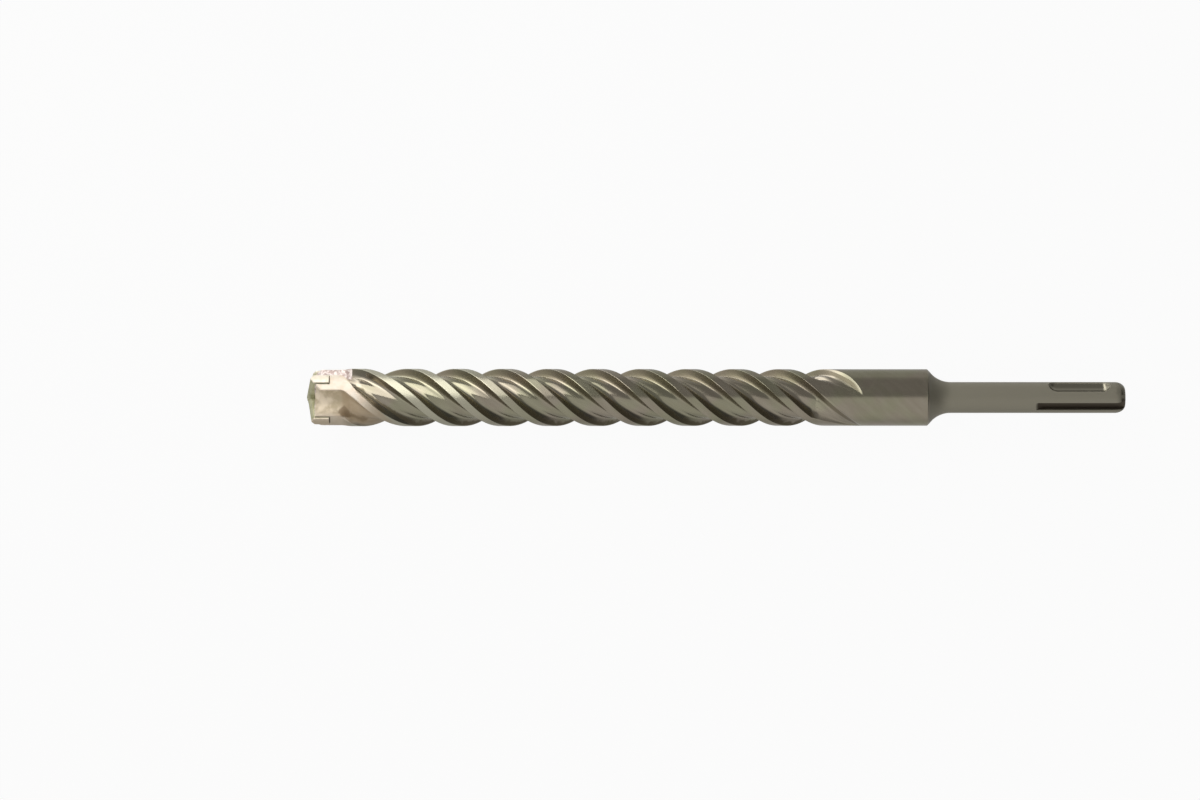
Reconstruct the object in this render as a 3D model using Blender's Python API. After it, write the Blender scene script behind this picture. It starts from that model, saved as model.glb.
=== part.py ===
"""Four-flute masonry drill bit, 20 mm across its carbide head, on a grooved 10 mm quick-change shank.

The axis lies along X: the tip points to -X and the flat end face of the shank is at the origin, facing +X.
Stations (s) are measured along the axis from the point of the tip. Angles around the axis are measured from
+Z towards +Y, and each flute is drawn as going down in angle from the upper edge of the land before it.
"""

import math

import bmesh
import bpy
from mathutils import Matrix, Vector

MM = 0.001
DEG = math.pi / 180

# Lengths along the axis, measured from the point of the tip.
TOTAL_LENGTH = 265 * MM
STEEL_FRONT = 2.9 * MM  # flat front of the steel
FLUTE_TWIST_START = 12.0 * MM  # the pockets of the head run straight up to here
HEAD_BLEND_START = 11.0 * MM  # from here on the round pockets of the head turn into flutes
HEAD_BLEND_END = 18.0 * MM
NECKED_LAND_START = 17.0 * MM  # behind the head each land is narrow and set back
NECKED_LAND_END = 38.0 * MM  # from here on the lands have their full width
RUNOUT_START = 163.3 * MM  # the softer edge of the flute starts to close here
RUNOUT_LIFT_START = 164.6 * MM  # the floor starts to rise here
RUNOUT_WIDEST = 173.3 * MM  # the crisp edge lies furthest out here
RUNOUT_END = 179.8 * MM
BODY_END = 200.9 * MM  # start of the shoulder

# Diameters.
HEAD_DIAMETER = 20.0 * MM
LAND_DIAMETER = 18.66 * MM
BODY_DIAMETER = 18.34 * MM
SHANK_DIAMETER = 10.0 * MM

# Shoulder between the plain body and the neck.
SHOULDER_CHAMFER_LENGTH = 1.7 * MM
SHOULDER_CHAMFER_DEPTH = 1.87 * MM
NECK_FILLET_RADIUS = 8.7 * MM

# Rounded end of the shank.
END_ROUNDING_LENGTH = 3.4 * MM
END_FACE_DIAMETER = 5.0 * MM

# Flutes: four starts, right-hand, with a flat floor between two sloping walls. The angles inside a flute are
# counted down from the upper edge of the land before it.
FLUTE_COUNT = 4
FLUTE_LEAD = 59.9 * MM
FLUTE_PITCH_ANGLE = 360 / FLUTE_COUNT
LAND_EDGE_ANGLE = 53.9  # upper edge of the first land where the twist starts
LAND_WIDTH_ANGLE = 20.5
HEAD_LAND_START_ANGLE = 3.0
HEAD_LAND_END_ANGLE = 37.9
NECKED_LAND_START_ANGLE = 15.0
NECKED_LAND_END_ANGLE = 33.0
FLOOR_START_ANGLE = 31.0  # crisp corner at the foot of the wall that faces the tip
FLOOR_END_ANGLE = 76.0  # foot of the softer wall that faces the shank
FLOOR_EDGE_RADIUS = 7.0 * MM
HEAD_POCKET_RADIUS = 5.2 * MM  # from the axis to the bottom of a pocket in the head
CUTTER_REACH = 3.0 * MM  # how far the flute cutter stands outside the body
RUNOUT_RIM_SPREAD_ANGLE = 7.5  # how far the crisp edge swings outwards in the run-out
RUNOUT_FLOOR_SWING_ANGLE = 12.0  # how far the corner at its foot swings the other way
HEAD_BLEND_STEP = 1.0 * MM
SECTION_STEP = 2.3 * MM
RUNOUT_STEP = 1.0 * MM

# Carbide cross.
ARM_THICKNESS = 2.8 * MM
ARM_ANGLE = 38.0
ARM_REAR = 7.4 * MM
POINT_ANGLE = 163.0  # across the first and third arm, which form the point
SIDE_POINT_ANGLE = 162.0  # across the other two
SIDE_ARM_DROP = 0.15 * MM
LEADING_FACET_DROP = 0.85 * MM
TRAILING_FACET_DROP = 1.05 * MM
BRAZE_GAP = 0.3 * MM

# Ground relief of the steel behind each arm, which deepens from the middle outwards.
RELIEF_WIDTH = 2.3 * MM
RELIEF_DROP = 2.2 * MM
RELIEF_FLAT_DROP = 2.8 * MM
RELIEF_LIFT = 0.8 * MM  # how far the cutter stands off the front where it starts, beside the axis
RELIEF_FULL_OUT = 4.8 * MM

# Grooves of the shank: two closed ones for the locking balls, two open ones for the drive keys.
LOCK_GROOVE_ANGLE = 52.0
LOCK_GROOVE_START = 240.0 * MM
LOCK_GROOVE_LENGTH = 20.3 * MM
LOCK_BALL_RADIUS = 3.5 * MM
LOCK_GROOVE_DEPTH = 1.66 * MM
KEY_GROOVE_ANGLE = LOCK_GROOVE_ANGLE - 90.0
KEY_GROOVE_LENGTH = 29.1 * MM
KEY_GROOVE_WIDTH = 2.9 * MM
KEY_GROOVE_DEPTH = 1.7 * MM
KEY_RUNOUT_RADIUS = 6.0 * MM

TURNED_SEGMENTS = 44

HEAD_RADIUS = HEAD_DIAMETER / 2
LAND_RADIUS = LAND_DIAMETER / 2
BODY_RADIUS = BODY_DIAMETER / 2
SHANK_RADIUS = SHANK_DIAMETER / 2


def clear_scene():
    for thing in list(bpy.data.objects):
        bpy.data.objects.remove(thing, do_unlink=True)


def smooth(value, low, high):
    """0 below low, 1 above high, and a smooth step between them."""
    t = min(max((value - low) / (high - low), 0.0), 1.0)
    return t * t * (3 - 2 * t)


def mix(a, b, share):
    return a + (b - a) * share


def point_at(s, radius, angle):
    """The point at station s, this far from the axis, at this angle in degrees."""
    return Vector((s - TOTAL_LENGTH, radius * math.sin(angle * DEG), radius * math.cos(angle * DEG)))


def steel(name, colour, roughness):
    material = bpy.data.materials.new(name)
    material.use_nodes = True
    shader = material.node_tree.nodes["Principled BSDF"]
    shader.inputs["Base Color"].default_value = (*colour, 1)
    shader.inputs["Metallic"].default_value = 1.0
    shader.inputs["Roughness"].default_value = roughness
    return material


def object_from(mesh_builder, name, material=None):
    """A new object whose mesh is taken from a bmesh, with its faces turned outwards."""
    bmesh.ops.recalc_face_normals(mesh_builder, faces=mesh_builder.faces[:])
    mesh = bpy.data.meshes.new(name)
    mesh_builder.to_mesh(mesh)
    mesh_builder.free()
    made = bpy.data.objects.new(name, mesh)
    bpy.context.scene.collection.objects.link(made)
    if material is not None:
        mesh.materials.append(material)
    return made


def make_cutter(mesh_builder, name):
    cutter = object_from(mesh_builder, name)
    cutter.hide_render = True
    cutter.display_type = "WIRE"
    return cutter


def apply_boolean(target, other, operation, label):
    modifier = target.modifiers.new(label, "BOOLEAN")
    modifier.operation = operation
    modifier.solver = "EXACT"
    modifier.object = other


def loft(rings):
    """A closed solid through rings of as many points each, with a flat cap on both ends."""
    builder = bmesh.new()
    made = [[builder.verts.new(point) for point in ring] for ring in rings]
    for before, after in zip(made, made[1:]):
        for i in range(len(before)):
            j = (i + 1) % len(before)
            builder.faces.new((before[i], before[j], after[j], after[i]))
    builder.faces.new(made[0])
    builder.faces.new(reversed(made[-1]))
    return builder


# Turned blank

def blank_profile():
    """(station, radius) down the outside of the turned bar, from the front face to the end face."""
    profile = [
        (STEEL_FRONT, LAND_RADIUS),
        (RUNOUT_START, BODY_RADIUS),
        (BODY_END, BODY_RADIUS),
    ]
    fillet_start_radius = BODY_RADIUS - SHOULDER_CHAMFER_DEPTH
    fillet_drop = fillet_start_radius - SHANK_RADIUS
    fillet_length = math.sqrt(2 * NECK_FILLET_RADIUS * fillet_drop - fillet_drop**2)
    fillet_start = BODY_END + SHOULDER_CHAMFER_LENGTH
    steps = 6
    for i in range(steps + 1):
        left = fillet_length * (1 - i / steps)
        rise = NECK_FILLET_RADIUS - math.sqrt(NECK_FILLET_RADIUS**2 - left**2)
        profile.append((fillet_start + fillet_length - left, SHANK_RADIUS + rise))
    rounding_depth = SHANK_RADIUS - END_FACE_DIAMETER / 2
    for i in range(steps + 1):
        turn = i / steps * 90 * DEG
        profile.append((
            TOTAL_LENGTH - END_ROUNDING_LENGTH * (1 - math.sin(turn)),
            SHANK_RADIUS - rounding_depth * (1 - math.cos(turn)),
        ))
    return profile


def turned_blank():
    rings = [
        [point_at(s, radius, 360 * i / TURNED_SEGMENTS) for i in range(TURNED_SEGMENTS)]
        for s, radius in blank_profile()
    ]
    return loft(rings)


# Flutes

def twist_at(s):
    """How far the flutes have turned, in degrees, at station s, easing into the helix."""
    rate = 360 / FLUTE_LEAD
    ease = 1.0 * MM
    past = s - FLUTE_TWIST_START
    if past < -ease:
        return 0.0
    if past < ease:
        return rate * (past + ease) ** 2 / (4 * ease)
    return rate * past


def polar(x, y):
    return math.hypot(x, y), math.atan2(y, x) / DEG


def on_plane(radius, angle):
    return radius * math.cos(angle * DEG), radius * math.sin(angle * DEG)


def outward(from_point, through_point, distance):
    """The point this far past through_point on the line from from_point, both as (radius, angle)."""
    x0, y0 = on_plane(*from_point)
    x1, y1 = on_plane(*through_point)
    length = math.hypot(x1 - x0, y1 - y0)
    share = distance / length
    return polar(x1 + (x1 - x0) * share, y1 + (y1 - y0) * share)


def between(a, b, share):
    """The point on the straight line between two (radius, angle) points."""
    x0, y0 = on_plane(*a)
    x1, y1 = on_plane(*b)
    return polar(mix(x0, x1, share), mix(y0, y1, share))


def land_edges(s):
    """Upper and lower edge of a land at station s: wide at the head, necked behind it, then regular."""
    share = smooth(s, HEAD_BLEND_START, NECKED_LAND_START)
    upper = mix(HEAD_LAND_START_ANGLE, NECKED_LAND_START_ANGLE, share)
    lower = mix(HEAD_LAND_END_ANGLE, NECKED_LAND_END_ANGLE, share)
    share = smooth(s, NECKED_LAND_START, NECKED_LAND_END)
    return mix(upper, 0.0, share), mix(lower, LAND_WIDTH_ANGLE, share)


def flute_corners(s):
    """The corners of a flute at station s as (radius, angle): rim, floor start, floor end and far edge."""
    surface = mix(LAND_RADIUS, BODY_RADIUS, min(max(s / RUNOUT_START, 0.0), 1.0))
    closing_angle = FLOOR_START_ANGLE + 1.0
    upper, rim = land_edges(s)
    floor_start = rim + FLOOR_START_ANGLE - LAND_WIDTH_ANGLE
    widest_rim = LAND_WIDTH_ANGLE - RUNOUT_RIM_SPREAD_ANGLE
    if s > RUNOUT_WIDEST:
        past = (s - RUNOUT_WIDEST) / (RUNOUT_END - RUNOUT_WIDEST)
        rim = mix(closing_angle, widest_rim, math.sqrt(1 - past * past))
    elif s > RUNOUT_LIFT_START:
        rim = mix(LAND_WIDTH_ANGLE, widest_rim, smooth(s, RUNOUT_LIFT_START, RUNOUT_WIDEST))
    lift = max((s - RUNOUT_LIFT_START) / (RUNOUT_END - RUNOUT_LIFT_START), 0.0)
    floor_start += RUNOUT_FLOOR_SWING_ANGLE * math.sin(math.pi * lift) ** 2
    risen = 0.5 * (1 - (1 - lift) ** 4) + 0.5 * lift * lift
    start_radius = mix(FLOOR_EDGE_RADIUS, surface, risen)
    closed = max((s - RUNOUT_START) / (RUNOUT_END - RUNOUT_START), 0.0)
    far_edge = mix(FLUTE_PITCH_ANGLE + upper, closing_angle, closed)
    floor_share = (FLOOR_END_ANGLE - FLOOR_START_ANGLE) / (FLUTE_PITCH_ANGLE - FLOOR_START_ANGLE)
    floor_end = mix(floor_start, far_edge, floor_share)
    end_radius = mix(start_radius, surface, 0.5 * lift)
    return (surface, rim), (start_radius, floor_start), (end_radius, floor_end), (surface, far_edge)


def flute_section(s):
    """(radius, angle) points of the flute cutter's section at station s, once around."""
    rim, floor_start, floor_end, far_edge = flute_corners(s)
    points = [
        rim,
        between(rim, floor_start, 0.5),
        floor_start,
        between(floor_start, floor_end, 1 / 3),
        between(floor_start, floor_end, 2 / 3),
        floor_end,
        between(floor_end, far_edge, 0.5),
        far_edge,
    ]
    head = 1 - smooth(s, HEAD_BLEND_START, HEAD_BLEND_END)
    if head > 0:
        pocket = head_pocket(rim[0], rim[1], far_edge[1], len(points))
        points = [(mix(a[0], b[0], head), mix(a[1], b[1], head)) for a, b in zip(points, pocket)]
    first = outward(points[1], points[0], CUTTER_REACH)
    last = outward(points[-2], points[-1], CUTTER_REACH)
    outer = LAND_RADIUS + 1.5 * CUTTER_REACH
    cover = [(outer, mix(last[1], first[1], share)) for share in (0.25, 0.5, 0.75)]
    return [first, *points, last, *cover]


def head_pocket(surface, rim, far_edge, count):
    """A round pocket between two lands of the head, as (radius, angle) points from edge to edge."""
    half = (far_edge - rim) / 2
    half_chord = surface * math.sin(half * DEG)
    chord_height = surface * math.cos(half * DEG)
    sagitta = chord_height - HEAD_POCKET_RADIUS
    arc_radius = (half_chord**2 + sagitta**2) / (2 * sagitta)
    arc_centre = HEAD_POCKET_RADIUS + arc_radius
    half_turn = math.asin(half_chord / arc_radius)
    if sagitta > arc_radius:
        half_turn = math.pi - half_turn
    pocket = []
    for i in range(count):
        turn = mix(-half_turn, half_turn, i / (count - 1))
        radius, angle = polar(arc_centre - arc_radius * math.cos(turn), arc_radius * math.sin(turn))
        pocket.append((radius, rim + half + angle))
    return pocket


def flute_stations():
    """Where the cutter's sections lie: few along the straight head, close together in the run-out."""
    stations = [-2 * MM, HEAD_BLEND_START]
    runs = (
        (HEAD_BLEND_END, HEAD_BLEND_STEP),
        (RUNOUT_START, SECTION_STEP),
        (RUNOUT_END - 0.5 * RUNOUT_STEP, RUNOUT_STEP),
    )
    for end, step in runs:
        start = stations[-1]
        count = round((end - start) / step)
        stations += [mix(start, end, (i + 1) / count) for i in range(count)]
    return stations


def flute_cutter(index):
    first_edge = LAND_EDGE_ANGLE - index * FLUTE_PITCH_ANGLE
    rings = []
    for s in flute_stations():
        edge = first_edge - twist_at(s)
        rings.append([point_at(s, radius, edge - angle) for radius, angle in flute_section(s)])
    # The last ring stands clear of the body, so that the flute ends in a point.
    clear = s + RUNOUT_STEP
    edge = first_edge - twist_at(clear)
    lifted = 0.3 * MM
    rings.append([point_at(clear, radius + lifted, edge - angle) for radius, angle in flute_section(s)])
    return make_cutter(loft(rings), f"flute_cutter_{index + 1}")


# Carbide cross

def arm_axes(index):
    """Unit vectors along an arm and towards its leading side."""
    angle = ARM_ANGLE - index * FLUTE_PITCH_ANGLE
    return point_at(TOTAL_LENGTH, 1, angle), point_at(TOTAL_LENGTH, 1, angle + 90)


def along_arm(index, sections):
    """A solid through (out, section) pairs, each section a list of (across, station) points."""
    along, leading = arm_axes(index)
    return loft([
        [along * out + leading * across + Vector((s - TOTAL_LENGTH, 0, 0)) for across, s in section]
        for out, section in sections
    ])


def arm(index):
    """One roofed arm of the cross, from just past the axis to beyond its ground end."""
    half = ARM_THICKNESS / 2
    side = index % 2
    slope = 1 / math.tan((SIDE_POINT_ANGLE if side else POINT_ANGLE) / 2 * DEG)
    sections = []
    for out in (-0.8 * half if side else 0.0, HEAD_RADIUS * 1.1):
        ridge = max(out, 0.0) * slope + side * SIDE_ARM_DROP
        sections.append((out, [
            (-half, ARM_REAR),
            (half, ARM_REAR),
            (half, ridge + LEADING_FACET_DROP),
            (0.0, ridge),
            (-half, ridge + TRAILING_FACET_DROP),
        ]))
    return along_arm(index, sections)


def turned_between(start, end, radius, segments):
    return loft([
        [point_at(s, radius, 360 * i / segments) for i in range(segments)] for s in (start, end)
    ])


def point_arms():
    """The first and third arm as one bar, roofed from end to end over the point."""
    half = ARM_THICKNESS / 2
    reach = HEAD_RADIUS * 1.1
    slope = 1 / math.tan(POINT_ANGLE / 2 * DEG)
    sections = []
    for out in (-reach, 0.0, reach):
        ridge = abs(out) * slope
        # What leads on one side of the axis trails on the other.
        turned = (out > 0) - (out < 0)
        middle_drop = (LEADING_FACET_DROP + TRAILING_FACET_DROP) / 2
        lean = (TRAILING_FACET_DROP - LEADING_FACET_DROP) / 2 * turned
        sections.append((out, [
            (-half, ARM_REAR),
            (half, ARM_REAR),
            (half, ridge + middle_drop - lean),
            (0.0, ridge),
            (-half, ridge + middle_drop + lean),
        ]))
    return along_arm(0, sections)


def carbide_cross(material):
    """The point bar and two side arms as one sintered piece, ground round to the nominal diameter."""
    cross = object_from(point_arms(), "carbide_head", material)
    for index in (1, 3):
        apply_boolean(cross, make_cutter(arm(index), f"side_arm_{index}"), "UNION", f"side_arm_{index}")
    ground = make_cutter(turned_between(-2 * MM, 2 * ARM_REAR, HEAD_RADIUS, 120), "grinding_diameter")
    apply_boolean(cross, ground, "INTERSECT", "grind_round")
    return cross


def slot_cutter():
    """The cross-shaped slot that holds the carbide, wider than it by the brazing gap."""
    half = ARM_THICKNESS / 2 + BRAZE_GAP
    reach = HEAD_RADIUS * 1.2
    rings = []
    for s in (-3 * MM, ARM_REAR + BRAZE_GAP):
        ring = []
        for index in range(FLUTE_COUNT):
            along, leading = arm_axes(index)
            middle = Vector((s - TOTAL_LENGTH, 0, 0))
            ring += [
                middle + along * reach + leading * half,
                middle + along * reach - leading * half,
                middle + along * half - leading * half,
            ]
        rings.append(ring)
    return make_cutter(loft(rings), "slot_cutter")


def relief_cutter(index):
    """Takes the land behind an arm down in a bevel."""
    half = ARM_THICKNESS / 2
    reach = HEAD_RADIUS * 1.2
    sections = []
    for out, lift in ((half, RELIEF_DROP + RELIEF_LIFT), (RELIEF_FULL_OUT, 0.0), (reach, 0.0)):
        sections.append((out, [
            (half, -3 * MM),
            (half, STEEL_FRONT - ARM_THICKNESS * RELIEF_DROP / RELIEF_WIDTH - lift),
            (-half - RELIEF_WIDTH, STEEL_FRONT + RELIEF_DROP - lift),
            (-reach, STEEL_FRONT + RELIEF_FLAT_DROP - lift),
            (-reach, -3 * MM),
        ]))
    return make_cutter(along_arm(index, sections), f"relief_cutter_{index + 1}")


# Shank grooves

def lock_groove_cutter(index):
    """A capsule as thick as the locking ball, sunk into the shank."""
    angle = LOCK_GROOVE_ANGLE + 180 * index
    centre_out = SHANK_RADIUS - LOCK_GROOVE_DEPTH + LOCK_BALL_RADIUS
    # The ball's end cap meets the shank's surface short of its own middle.
    cap = math.sqrt(LOCK_BALL_RADIUS**2 - (centre_out - SHANK_RADIUS) ** 2)
    start = LOCK_GROOVE_START + cap
    end = LOCK_GROOVE_START + LOCK_GROOVE_LENGTH - cap
    builder = bmesh.new()
    # An odd number of rows leaves none at the middle, where the ball is pulled apart.
    bmesh.ops.create_uvsphere(builder, u_segments=28, v_segments=13, radius=LOCK_BALL_RADIUS)
    bmesh.ops.rotate(builder, verts=builder.verts[:], matrix=Matrix.Rotation(90 * DEG, 3, "Y"))
    for vertex in builder.verts:
        vertex.co.x += start if vertex.co.x < 0 else end
    middle = point_at(0, centre_out, angle)
    bmesh.ops.translate(builder, verts=builder.verts[:], vec=middle)
    return make_cutter(builder, f"lock_groove_cutter_{index + 1}")


def key_groove_cutter(index):
    """A slot open at the end face, whose floor curves out to the surface as a disc cutter leaves it."""
    angle = KEY_GROOVE_ANGLE + 180 * index
    floor = SHANK_RADIUS - KEY_GROOVE_DEPTH
    top = SHANK_RADIUS + CUTTER_REACH
    start = TOTAL_LENGTH - KEY_GROOVE_LENGTH
    run = math.sqrt(2 * KEY_RUNOUT_RADIUS * KEY_GROOVE_DEPTH - KEY_GROOVE_DEPTH**2)
    outline = [(TOTAL_LENGTH + CUTTER_REACH, top), (TOTAL_LENGTH + CUTTER_REACH, floor)]
    steps = 7
    reach = math.asin(min(1.0, (run + 0.6 * MM) / KEY_RUNOUT_RADIUS))
    for i in range(steps + 1):
        turn = i / steps * reach
        outline.append((
            start + run - KEY_RUNOUT_RADIUS * math.sin(turn),
            floor + KEY_RUNOUT_RADIUS * (1 - math.cos(turn)),
        ))
    outline.append((outline[-1][0], top))
    side = point_at(TOTAL_LENGTH, KEY_GROOVE_WIDTH / 2, angle + 90)
    rings = [
        [point_at(s, radius, angle) + side * sign for s, radius in outline] for sign in (-1, 1)
    ]
    return make_cutter(loft(rings), f"key_groove_cutter_{index + 1}")


def steel_body(material):
    """The bar: turned, fluted, slotted for the carbide and grooved for the chuck."""
    body = object_from(turned_blank(), "steel_body", material)
    cutters = [relief_cutter(i) for i in range(FLUTE_COUNT)]
    cutters.append(slot_cutter())
    cutters += [flute_cutter(i) for i in range(FLUTE_COUNT)]
    cutters += [lock_groove_cutter(i) for i in range(2)]
    cutters += [key_groove_cutter(i) for i in range(2)]
    for cutter in cutters:
        apply_boolean(body, cutter, "DIFFERENCE", cutter.name)
    body.data.shade_smooth()
    body.data.set_sharp_from_angle(angle=25 * DEG)
    return body


def main():
    clear_scene()
    steel_body(steel("tool_steel", (0.30, 0.28, 0.23), 0.38))
    carbide_cross(steel("sintered_carbide", (0.42, 0.40, 0.34), 0.45))


main()
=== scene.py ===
"""Masonry drill bit, 20 mm across its carbide head, lying on a pale floor and seen from straight above.

Everything is in metres, with the bit's axis along X: the point is at -X and the
shank's end face at the origin. Stations (s) are measured along the axis from the
point. Angles round the axis are in degrees from +Z to +Y.
"""

import math
from types import SimpleNamespace

import bmesh
import bpy
from mathutils import Matrix, Vector, noise


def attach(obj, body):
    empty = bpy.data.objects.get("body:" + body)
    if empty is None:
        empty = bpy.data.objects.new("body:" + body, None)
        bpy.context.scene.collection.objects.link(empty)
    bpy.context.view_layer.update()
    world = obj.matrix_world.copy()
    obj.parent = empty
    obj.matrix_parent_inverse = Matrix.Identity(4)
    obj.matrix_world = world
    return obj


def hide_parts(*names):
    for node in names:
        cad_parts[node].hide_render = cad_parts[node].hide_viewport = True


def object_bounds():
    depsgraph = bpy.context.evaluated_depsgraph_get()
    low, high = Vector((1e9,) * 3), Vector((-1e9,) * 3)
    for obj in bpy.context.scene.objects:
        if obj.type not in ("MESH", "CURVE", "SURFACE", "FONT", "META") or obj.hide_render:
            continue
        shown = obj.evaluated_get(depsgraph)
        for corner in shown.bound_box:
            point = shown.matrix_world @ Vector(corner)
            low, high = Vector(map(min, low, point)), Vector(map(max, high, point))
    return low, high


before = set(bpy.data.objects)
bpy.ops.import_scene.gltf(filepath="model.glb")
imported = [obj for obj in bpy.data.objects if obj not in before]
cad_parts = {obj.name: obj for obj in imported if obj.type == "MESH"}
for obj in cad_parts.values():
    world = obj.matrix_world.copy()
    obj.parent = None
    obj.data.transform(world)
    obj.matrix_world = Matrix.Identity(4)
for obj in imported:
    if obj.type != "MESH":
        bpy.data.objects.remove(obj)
cad_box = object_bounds()

MM = 0.001
DEG = math.pi / 180

# The drill's sizes, as in its CAD.
TOTAL_LENGTH = 265 * MM
STEEL_FRONT = 2.9 * MM
FLUTE_TWIST_START = 12.0 * MM
HEAD_BLEND_START = 11.0 * MM
HEAD_BLEND_END = 18.0 * MM
NECKED_LAND_START = 17.0 * MM
NECKED_LAND_END = 38.0 * MM
RUNOUT_START = 163.3 * MM
RUNOUT_LIFT_START = 164.6 * MM
RUNOUT_WIDEST = 173.3 * MM
RUNOUT_END = 179.8 * MM
BODY_END = 200.9 * MM

HEAD_RADIUS = 10.0 * MM
LAND_RADIUS = 9.33 * MM
BODY_RADIUS = 9.17 * MM
SHANK_RADIUS = 5.0 * MM

SHOULDER_CHAMFER_LENGTH = 1.7 * MM
SHOULDER_CHAMFER_DEPTH = 1.87 * MM
NECK_FILLET_RADIUS = 8.7 * MM
END_ROUNDING_LENGTH = 3.4 * MM
END_FACE_RADIUS = 2.5 * MM

FLUTE_COUNT = 4
FLUTE_LEAD = 59.9 * MM
FLUTE_PITCH_ANGLE = 360 / FLUTE_COUNT
LAND_EDGE_ANGLE = 53.9
LAND_WIDTH_ANGLE = 20.5
FLOOR_START_ANGLE = 31.0
FLOOR_END_ANGLE = 76.0
FLOOR_EDGE_RADIUS = 6.6 * MM
HEAD_POCKET_RADIUS = 5.2 * MM
HEAD_LAND_START_ANGLE = 3.0
HEAD_LAND_END_ANGLE = 37.9
NECKED_LAND_START_ANGLE = 15.0
NECKED_LAND_END_ANGLE = 33.0
RUNOUT_RIM_SPREAD_ANGLE = 7.5
RUNOUT_FLOOR_SWING_ANGLE = 12.0

ARM_THICKNESS = 2.8 * MM
ARM_ANGLE = 38.0
ARM_REAR = 7.4 * MM
POINT_ANGLE = 163.0
SIDE_POINT_ANGLE = 162.0
SIDE_ARM_DROP = 0.15 * MM
LEADING_FACET_DROP = 0.85 * MM
TRAILING_FACET_DROP = 1.05 * MM
BRAZE_GAP = 0.3 * MM
RELIEF_WIDTH = 2.3 * MM
RELIEF_DROP = 2.2 * MM
RELIEF_FLAT_DROP = 2.8 * MM
RELIEF_LIFT = 0.8 * MM
RELIEF_FULL_OUT = 4.8 * MM

LOCK_GROOVE_ANGLE = 52.0
LOCK_GROOVE_START = 240.0 * MM
LOCK_GROOVE_LENGTH = 20.3 * MM
LOCK_BALL_RADIUS = 3.5 * MM
LOCK_GROOVE_DEPTH = 1.66 * MM
KEY_GROOVE_ANGLE = LOCK_GROOVE_ANGLE - 90.0
KEY_GROOVE_LENGTH = 29.1 * MM
KEY_GROOVE_WIDTH = 2.9 * MM
KEY_GROOVE_DEPTH = 1.7 * MM
KEY_RUNOUT_RADIUS = 6.0 * MM

BRAZE_RUN_START = 3.2 * MM
BRAZE_RUN_END = 14.7 * MM
BRAZE_BEAD_START = 1.9 * MM
BRAZE_BEAD_END = 9.0 * MM

# Roundings of the section's corners, from a land's lower edge to the next land.
RIM_ROUNDING = 0.15 * MM
FLOOR_START_ROUNDING = 1.1 * MM
FLOOR_END_ROUNDING = 1.3 * MM
FAR_EDGE_ROUNDING = 0.32 * MM
SHOULDER_ROUNDING = 0.25 * MM
WORN_CARBIDE_EDGE = 0.12 * MM

# How far the cutters reach past what they cut.
CUTTER_OVERRUN = 3 * MM
CUTTER_REACH = 1.2 * HEAD_RADIUS

# Fineness of the meshes.
HEAD_STEP = 0.9 * MM
HEAD_BLEND_STEP = 0.4 * MM
FLUTE_STEP = 0.55 * MM
RUNOUT_STEP = 0.3 * MM
SPREAD_LENGTH = 6 * MM
LAND_POINTS = 20
GRINDING_STEPS = 240
BRAZE_WALL_POINTS = 15
BRAZE_STEPS = 60
BEAD_POINTS = 10


def smooth(value, low, high):
    """0 below low, 1 above high, and a smooth step between them."""
    t = min(max((value - low) / (high - low), 0.0), 1.0)
    return t * t * (3 - 2 * t)


def mix(a, b, share):
    return a + (b - a) * share


def point_at(s, radius, angle):
    return Vector((s - TOTAL_LENGTH, radius * math.sin(angle * DEG), radius * math.cos(angle * DEG)))


def polar(x, y):
    return math.hypot(x, y), math.atan2(y, x) / DEG


def flat(point):
    """A (radius, angle) point as a vector in the section's plane."""
    radius, angle = point
    return Vector((radius * math.cos(angle * DEG), radius * math.sin(angle * DEG)))


def link(name, mesh, material=None):
    made = bpy.data.objects.new(name, mesh)
    bpy.context.scene.collection.objects.link(made)
    if material is not None:
        mesh.materials.clear()
        mesh.materials.append(material)
    return made


def object_from(builder, name, material=None):
    bmesh.ops.recalc_face_normals(builder, faces=builder.faces[:])
    mesh = bpy.data.meshes.new(name)
    builder.to_mesh(mesh)
    builder.free()
    return link(name, mesh, material)


def skin(builder, rings):
    """Adds a closed solid through rings of as many points each, with a flat cap on both ends."""
    made = [[builder.verts.new(point) for point in ring] for ring in rings]
    for before, after in zip(made, made[1:]):
        for i in range(len(before)):
            j = (i + 1) % len(before)
            builder.faces.new((before[i], before[j], after[j], after[i]))
    builder.faces.new(made[0])
    builder.faces.new(reversed(made[-1]))


def loft(rings):
    builder = bmesh.new()
    skin(builder, rings)
    return builder


def cut(target, cutters, operation="DIFFERENCE"):
    """Applies Booleans to target's mesh and removes the cutters."""
    for cutter in cutters:
        modifier = target.modifiers.new("cut", "BOOLEAN")
        modifier.operation = operation
        modifier.solver = "EXACT"
        modifier.object = cutter
    graph = bpy.context.evaluated_depsgraph_get()
    finished = bpy.data.meshes.new_from_object(target.evaluated_get(graph))
    target.modifiers.clear()
    target.data = finished
    for cutter in cutters:
        bpy.data.objects.remove(cutter, do_unlink=True)


def shade(piece, sharp_angle):
    piece.data.shade_smooth()
    piece.data.set_sharp_from_angle(angle=sharp_angle * DEG)


# The fluted bar

def twist_at(s):
    """How far the flutes have turned, in degrees, at station s, easing into the helix."""
    rate = 360 / FLUTE_LEAD
    ease = 1.0 * MM
    past = s - FLUTE_TWIST_START
    if past < -ease:
        return 0.0
    if past < ease:
        return rate * (past + ease) ** 2 / (4 * ease)
    return rate * past


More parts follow.
